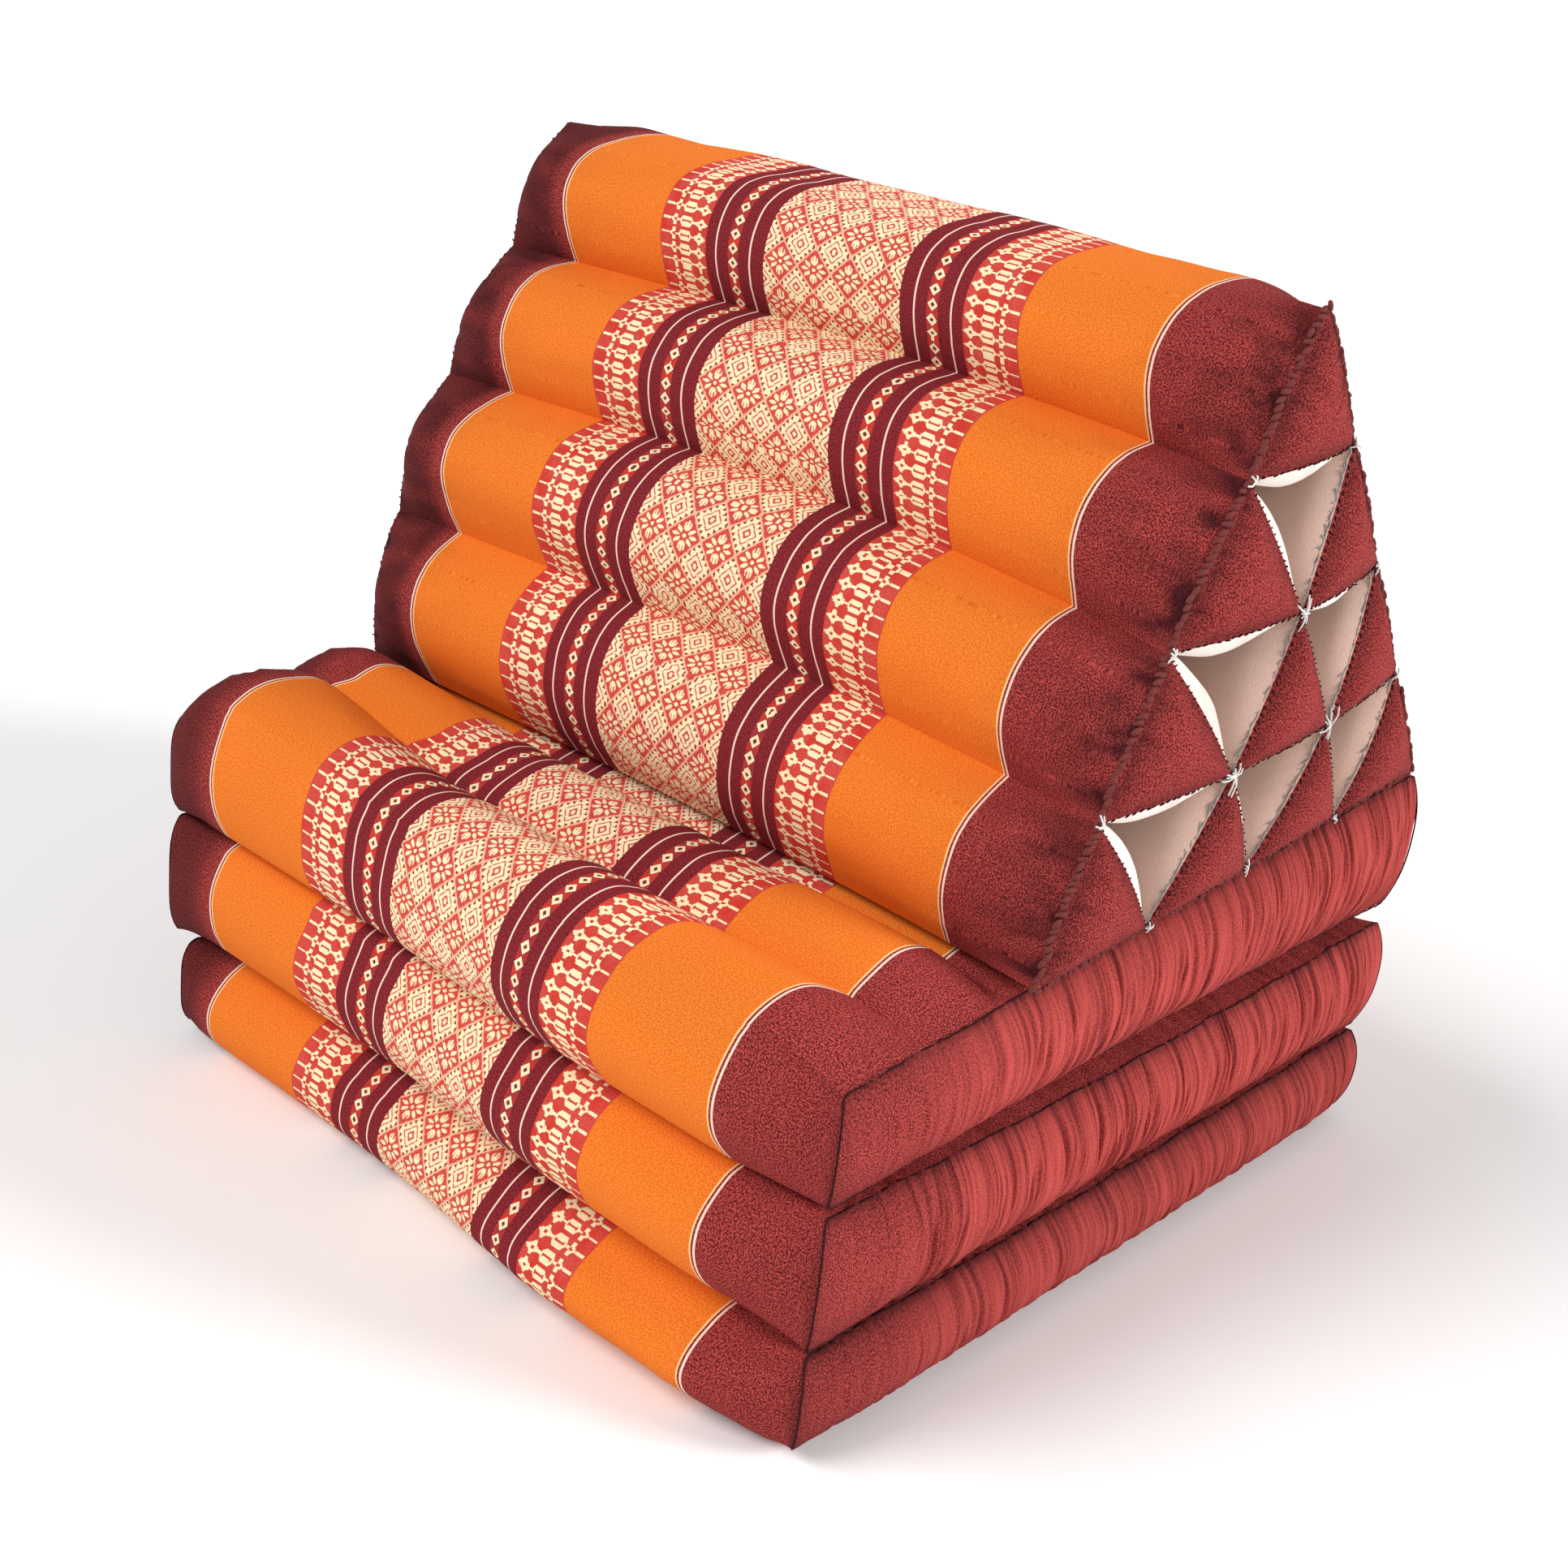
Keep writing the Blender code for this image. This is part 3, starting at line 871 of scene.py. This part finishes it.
class Reading:
    """A number that a material works out at each point of a cloth."""

    def __init__(self, tree, socket):
        self.tree, self.socket = tree, socket

    def work(self, operation, *others):
        node = self.tree.nodes.new("ShaderNodeMath")
        node.operation = operation
        for socket, value in zip(node.inputs, (self, *others)):
            if isinstance(value, Reading):
                self.tree.links.new(value.socket, socket)
            else:
                socket.default_value = value
        return Reading(self.tree, node.outputs[0])

    def __add__(self, other):
        return self.work("ADD", other)

    def __sub__(self, other):
        return self.work("SUBTRACT", other)

    def __mul__(self, other):
        return self.work("MULTIPLY", other)

    def __lt__(self, other):
        return self.work("LESS_THAN", other)

    def __gt__(self, other):
        return self.work("GREATER_THAN", other)

    def __or__(self, other):
        return self.work("MAXIMUM", other)

    def __and__(self, other):
        return self.work("MULTIPLY", other)

    def size(self):
        return self.work("ABSOLUTE")

    def steps(self, step):
        """The number in whole steps, as woven threads show it."""
        return (self * (1 / step)).work("FLOOR") * step + step / 2

    def repeat(self, pitch):
        """The number counted from the middle of each repeat."""
        return self - (self * (1 / pitch) + 0.5).work("FLOOR") * pitch

    def within(self, low, high):
        return (self > low) & (self < high)

    def no(self):
        return self * -1.0 + 1.0


def cloth_material(name):
    material = bpy.data.materials.new(name)
    material.use_nodes = True
    tree = material.node_tree
    shader = tree.nodes["Principled BSDF"]
    shader.inputs["Roughness"].default_value = 0.92
    shader.inputs["Specular IOR Level"].default_value = 0.10
    return material, tree, shader


def cloth_map(tree):
    source = tree.nodes.new("ShaderNodeUVMap")
    source.uv_map = "cloth"
    return source


def places_on(tree, source):
    """Place on the flat cloth in millimetres: across it, and round the piece."""
    parts = tree.nodes.new("ShaderNodeSeparateXYZ")
    tree.links.new(source.outputs["UV"], parts.inputs[0])
    return Reading(tree, parts.outputs[0]) * 1000.0, Reading(tree, parts.outputs[1]) * 1000.0


def grain(tree, vector, across, along, detail=2.0):
    """Fine noise on the cloth map, with so many threads per metre each way."""
    stretch = tree.nodes.new("ShaderNodeMapping")
    stretch.inputs["Scale"].default_value = (across, along, 1.0)
    tree.links.new(vector.outputs[0], stretch.inputs["Vector"])
    texture = tree.nodes.new("ShaderNodeTexNoise")
    texture.noise_dimensions = "2D"
    texture.inputs["Scale"].default_value = 1.0
    texture.inputs["Detail"].default_value = detail
    tree.links.new(stretch.outputs[0], texture.inputs["Vector"])
    return Reading(tree, texture.outputs["Fac"])


def blend_colours(tree, share, low, high):
    node = tree.nodes.new("ShaderNodeMix")
    node.data_type = "RGBA"
    for socket, value in ((node.inputs[0], share), (node.inputs[6], low), (node.inputs[7], high)):
        if isinstance(value, Reading):
            tree.links.new(value.socket, socket)
        elif hasattr(value, "is_output"):
            tree.links.new(value, socket)
        else:
            socket.default_value = (*value, 1.0) if isinstance(value, tuple) else value
    return node.outputs[2]


def contrast(reading, low, high):
    node = reading.tree.nodes.new("ShaderNodeMapRange")
    node.interpolation_type = "SMOOTHSTEP"
    node.inputs["From Min"].default_value = low
    node.inputs["From Max"].default_value = high
    reading.tree.links.new(reading.socket, node.inputs["Value"])
    return Reading(reading.tree, node.outputs[0])


def shaded(tree, colour):
    """Painted shade: darker where the piece's shade attribute says, in folds, beside seams and at the ends
    of the rolls.
    """
    source = tree.nodes.new("ShaderNodeAttribute")
    source.attribute_name = "shade"
    return blend_colours(tree, Reading(tree, source.outputs["Fac"]), colour, black_thread_and_shade)


def raise_threads(tree, shader, height, strength, distance):
    bump = tree.nodes.new("ShaderNodeBump")
    bump.inputs["Strength"].default_value = strength
    bump.inputs["Distance"].default_value = distance
    tree.links.new(height.socket, bump.inputs["Height"])
    tree.links.new(bump.outputs[0], shader.inputs["Normal"])


deep_red = (0.135, 0.0110, 0.0125)
bright_thread = (0.520, 0.074, 0.066)
lit_red = (0.620, 0.092, 0.080)
# Black flecks in the red cloth, and also the black that painted shade blends towards.
black_thread_and_shade = (0.030, 0.005, 0.007)
orange = (0.820, 0.232, 0.032)
orange_shade = (0.700, 0.130, 0.010)
bright_red = (0.560, 0.042, 0.026)
pale_red = (0.620, 0.110, 0.090)
burgundy = (0.120, 0.0085, 0.0150)
burgundy_thread = (0.300, 0.030, 0.036)
tooth_red = (0.330, 0.035, 0.022)
cream = (0.890, 0.750, 0.475)
pink_line = (0.900, 0.420, 0.270)
thin_line = (0.900, 0.640, 0.520)
yellow_line = (0.900, 0.560, 0.260)


def red_threads(tree, source):
    """Plain cloth of mixed dark and bright red threads."""
    fine = grain(tree, source, 1250.0, 850.0, 3.0)
    slub = grain(tree, source, 1000.0, 60.0, 2.0)
    speck = grain(tree, source, 1300.0, 1200.0, 2.0)
    colour = blend_colours(tree, contrast(fine, 0.40, 0.62), deep_red, bright_thread)
    colour = blend_colours(tree, contrast(slub, 0.58, 0.74) * 0.5, colour, bright_thread)
    colour = blend_colours(tree, contrast(speck, 0.53, 0.66) * 0.75, colour, black_thread_and_shade)
    return colour, fine


def plain_cloth():
    material, tree, shader = cloth_material("dark_red_cloth")
    source = cloth_map(tree)
    colour, threads = red_threads(tree, source)
    tree.links.new(shaded(tree, colour), shader.inputs["Base Color"])
    raise_threads(tree, shader, threads, 0.25, 0.0003)
    return material


def gathered_cloth():
    """The same cloth drawn up on its thread: fine flutes from seam to seam, with painted highlights and
    painted shade on them.
    """
    material, tree, shader = cloth_material("gathered_cloth")
    source = cloth_map(tree)
    across = places_on(tree, source)[0]
    colour, threads = red_threads(tree, source)
    flutes = grain(tree, source, 430.0, 9.0, 2.0)
    gathered = contrast(across, -245.0, -140.0)
    bunches = contrast(grain(tree, source, 26.0, 6.0, 1.0), 0.30, 0.62) * gathered
    # Painted light: the cloth is blended towards a lit red, more where the strip is gathered and most on
    # the crests of the flutes.
    lit = (contrast(flutes, 0.42, 0.66) * 0.36 + 0.38) * (gathered * 0.9 + 0.1)
    colour = blend_colours(tree, lit, colour, lit_red)
    # Painted shade: black in the bottoms of the bunched flutes.
    flute_shade = contrast(flutes, 0.46, 0.30) * bunches * 0.30
    colour = blend_colours(tree, flute_shade, colour, black_thread_and_shade)
    tree.links.new(shaded(tree, colour), shader.inputs["Base Color"])
    raise_threads(tree, shader, flutes * (bunches * 0.75 + 0.25) + threads * 0.08, 0.8, 0.0026)
    return material


def white_cloth(name, dull, bright):
    material, tree, shader = cloth_material(name)
    source = cloth_map(tree)
    weave = grain(tree, source, 1100.0, 1300.0, 2.0)
    smudge_and_shade = grain(tree, source, 12.0, 30.0, 3.0)
    colour = blend_colours(tree, contrast(weave, 0.3, 0.7), dull, bright)
    colour = blend_colours(tree, contrast(smudge_and_shade, 0.45, 0.8) * 0.35, colour, (0.48, 0.38, 0.33))
    tree.links.new(colour, shader.inputs["Base Color"])
    raise_threads(tree, shader, weave + smudge_and_shade * 2.0, 0.4, 0.0008)
    return material


def oval(x, y, at_x, at_y, long, wide, turn=0.0):
    """1 inside an oval petal."""
    c, s = math.cos(turn), math.sin(turn)
    dx, dy = x - at_x, y - at_y
    along, across = dx * (c / long) + dy * (s / long), dy * (c / wide) - dx * (s / wide)
    return (along * along + across * across) < 1.0


def middle_panel(across, along):
    """A net of rhombs: a flower in one, nested diamonds in the next, rows of teeth between."""
    x = (across - 11.875).repeat(23.75).size()
    y = along.repeat(27.5).size()
    net = x * (1 / 11.875) + y * (1 / 13.75)
    slant = x * (1 / 11.875) - y * (1 / 13.75)
    fingers = ((y > 5.6) & ((x - 1.05).size() < 0.36)).no()
    petals = (
        oval(x, y, 6.2, 0.0, 2.6, 0.95)
        | (oval(x, y, 0.0, 5.7, 2.5, 2.9) & fingers)
        | oval(x, y, 4.3, 3.0, 2.5, 1.15, 0.62)
        | oval(x, y, 0.0, 0.0, 1.2, 1.2)
    )
    tooth = (slant * 2.5).repeat(1.0).size() < (net * -1.45 + 1.93)
    rings = net.within(1.06, 1.74) & net.within(1.455, 1.535).no() & (tooth & net.within(1.08, 1.34)).no()
    return petals | rings | (net > 1.87), net.within(0.94, 1.06), (tooth & net.within(1.08, 1.34))


def figure_row(across, y):
    """One row of figures: pointed flower, link, long ring with a slot, cross and bar."""
    at = across - 98.9
    size = at.size()
    pointed = (at < 0.0) & ((at * (-1 / 5.6) + y * (1 / 2.6)) < 1.0)
    flower = ((size < 1.2) & (y < 3.6)) | ((size < 3.7) & (y < 1.4)) | ((size + y) < 4.0) | pointed
    flower = flower & ((size < 1.0) & (y < 0.65)).no()
    links = (across.within(102.4, 105.8) | across.within(117.1, 119.4)) & (y < 0.8)
    at = (across - 111.2).size()
    slot = ((at < 3.7) & (y < 0.55)) | ((at.within(2.8, 3.8)) & (y < 1.0))
    ring = ((at + y * 0.70) < 5.9) & (y < 3.5) & slot.no()
    at = across - 120.8
    leaf = (at > 0.3) & ((at * (1 / 4.2) + y * (1 / 2.7)) < 1.0)
    clover = ((at.size() < 1.4) & y.within(0.9, 3.6)) | leaf
    bar = across.within(124.6, 131.2) & (y < 0.70)
    return flower | links | ring | (clover & ((at.size() < 1.1) & (y < 0.6)).no()) | bar


def patterned_cloth():
    """Bands across the cloth, the same on both sides of its middle line."""
    material, tree, shader = cloth_material("patterned_cloth")
    source = cloth_map(tree)
    across, along = places_on(tree, source)
    out = across.size()
    woven_out, woven_along = out.steps(0.55), (along - 25.5).steps(0.55)
    soft = contrast(grain(tree, source, 1300.0, 1000.0, 2.0), 0.3, 0.75)
    wide = contrast(grain(tree, source, 90.0, 60.0, 2.0), 0.3, 0.75)

    light_parts, line, teeth = middle_panel(woven_out, woven_along)
    ground = blend_colours(tree, soft, bright_red, pale_red)
    colour = blend_colours(tree, light_parts, ground, cream)
    colour = blend_colours(tree, line, colour, pink_line)
    colour = blend_colours(tree, teeth, colour, tooth_red)

    in_burgundy = out.within(47.5, 93.1)
    colour = blend_colours(tree, in_burgundy, colour, blend_colours(tree, soft, burgundy, burgundy_thread))
    chain_x, y = (woven_out - 70.6).size(), woven_along.repeat(27.5 / 3).size()
    chain_ground = blend_colours(tree, wide, bright_red, burgundy_thread)
    colour = blend_colours(tree, (chain_x < 4.0) & (y > 1.2), colour, chain_ground)
    hole = (chain_x * (1 / 1.5) + y * (1 / 1.5)) < 1.0
    bead = ((chain_x * (1 / 3.9) + y * (1 / 3.9)) < 1.0) & hole.no()
    colour = blend_colours(tree, bead, colour, cream)
    thin_lines = ((out - 57.7).size() < 0.62) | ((out - 84.4).size() < 0.62)
    colour = blend_colours(tree, thin_lines, colour, thin_line)

    in_figures = out.within(93.1, 132.7)
    colour = blend_colours(tree, in_figures, colour, blend_colours(tree, wide, ground, bright_red))
    figures = figure_row(woven_out, y) & in_figures
    colour = blend_colours(tree, figures, colour, cream)

    threads = grain(tree, source, 1000.0, 1100.0, 3.0)
    plain_orange = blend_colours(tree, contrast(threads, 0.36, 0.62), orange_shade, orange)
    colour = blend_colours(tree, out > 132.7, colour, plain_orange)
    red, fine = red_threads(tree, source)
    colour = blend_colours(tree, out > 216.2, colour, red)
    colour = blend_colours(tree, out.within(216.0, 217.1), colour, yellow_line)
    colour = blend_colours(tree, out.within(218.3, 219.6), colour, thin_line)
    tree.links.new(shaded(tree, colour), shader.inputs["Base Color"])
    raised = figures * 0.5 + (light_parts & (out < 47.5)) * 0.4 + (bead & in_burgundy) * 0.4
    raise_threads(tree, shader, fine + threads + raised, 0.25, 0.0003)
    return material


def thread_material(name, colour):
    material, tree, shader = cloth_material(name)
    place = tree.nodes.new("ShaderNodeTexCoord")
    texture = tree.nodes.new("ShaderNodeTexNoise")
    texture.inputs["Scale"].default_value = 900.0
    tree.links.new(place.outputs["Object"], texture.inputs["Vector"])
    darker = tuple(0.55 * c for c in colour)
    shade = blend_colours(tree, Reading(tree, texture.outputs["Fac"]), darker, colour)
    tree.links.new(shade, shader.inputs["Base Color"])
    return material


# Putting it together.

cover = patterned_cloth()
plain = plain_cloth()
gathered = gathered_cloth()
white = white_cloth("undyed_cloth", (0.80, 0.72, 0.66), (0.88, 0.81, 0.75))
# Painted shade: a darker, browner copy of the undyed cloth for the walls inside the open channels that face
# the front.
shaded_white = white_cloth("undyed_cloth_in_shade", (0.58, 0.39, 0.325), (0.66, 0.45, 0.375))
dark_thread = thread_material("dark_thread", (0.045, 0.009, 0.010))
red_thread = thread_material("red_thread", (0.210, 0.052, 0.048))
grey_thread = thread_material("grey_thread", (0.42, 0.38, 0.36))
white_thread = thread_material("white_thread", (0.97, 0.95, 0.92))

for mat_name in mats:
    make_mat(mat_name, cover, gathered)
for row in range(rows):
    for column in range(row + 1):
        make_tube(row, column, (cover, plain, white, shaded_white))
whip_stitching(red_thread, dark_thread)
frayed_edges(grey_thread)
thread_knots(white_thread)
side_seams(dark_thread)


def pale_floor():
    bm = bmesh.new()
    bmesh.ops.create_grid(bm, x_segments=1, y_segments=1, size=60.0)
    floor = make_object("floor", bm)
    material = bpy.data.materials.new("pale_floor")
    material.use_nodes = True
    shader = material.node_tree.nodes["Principled BSDF"]
    shader.inputs["Base Color"].default_value = (0.96, 0.96, 0.96, 1.0)
    shader.inputs["Roughness"].default_value = 0.9
    floor.data.materials.append(material)


def soft_light(name, direction, strength, spread):
    """A far light that shines from the given direction, as soft as its spread in degrees."""
    lamp = bpy.data.lights.new(name, "SUN")
    lamp.energy = strength
    lamp.angle = math.radians(spread)
    ob = bpy.data.objects.new(name, lamp)
    ob.rotation_euler = Vector(direction).to_track_quat("Z", "Y").to_euler()
    bpy.context.scene.collection.objects.link(ob)


def camera():
    data = bpy.data.cameras.new("camera")
    data.lens = 50.29
    data.sensor_width = 36.0
    data.clip_start = 0.05
    ob = bpy.data.objects.new("camera", data)
    right = (0.72984, 0.67361, 0.11655)
    up = (-0.34409, 0.21465, 0.91407)
    back = (0.59071, -0.70723, 0.38844)
    turn = Matrix((right, up, back)).transposed().to_4x4()
    ob.matrix_world = Matrix.Translation((0.7773, -0.9665, 0.7276)) @ turn
    bpy.context.scene.collection.objects.link(ob)
    bpy.context.scene.camera = ob


def light_and_view():
    world = bpy.data.worlds.new("studio")
    world.use_nodes = True
    world.node_tree.nodes["Background"].inputs["Color"].default_value = (1.0, 1.0, 1.0, 1.0)
    world.node_tree.nodes["Background"].inputs["Strength"].default_value = 0.42
    bpy.context.scene.world = world
    soft_light("front_left", (-0.36, -0.62, 0.68), 2.2, 35)
    soft_light("right", (0.80, 0.45, 0.38), 2.7, 20)
    bpy.context.scene.view_settings.view_transform = "Standard"


pale_floor()
light_and_view()
camera()
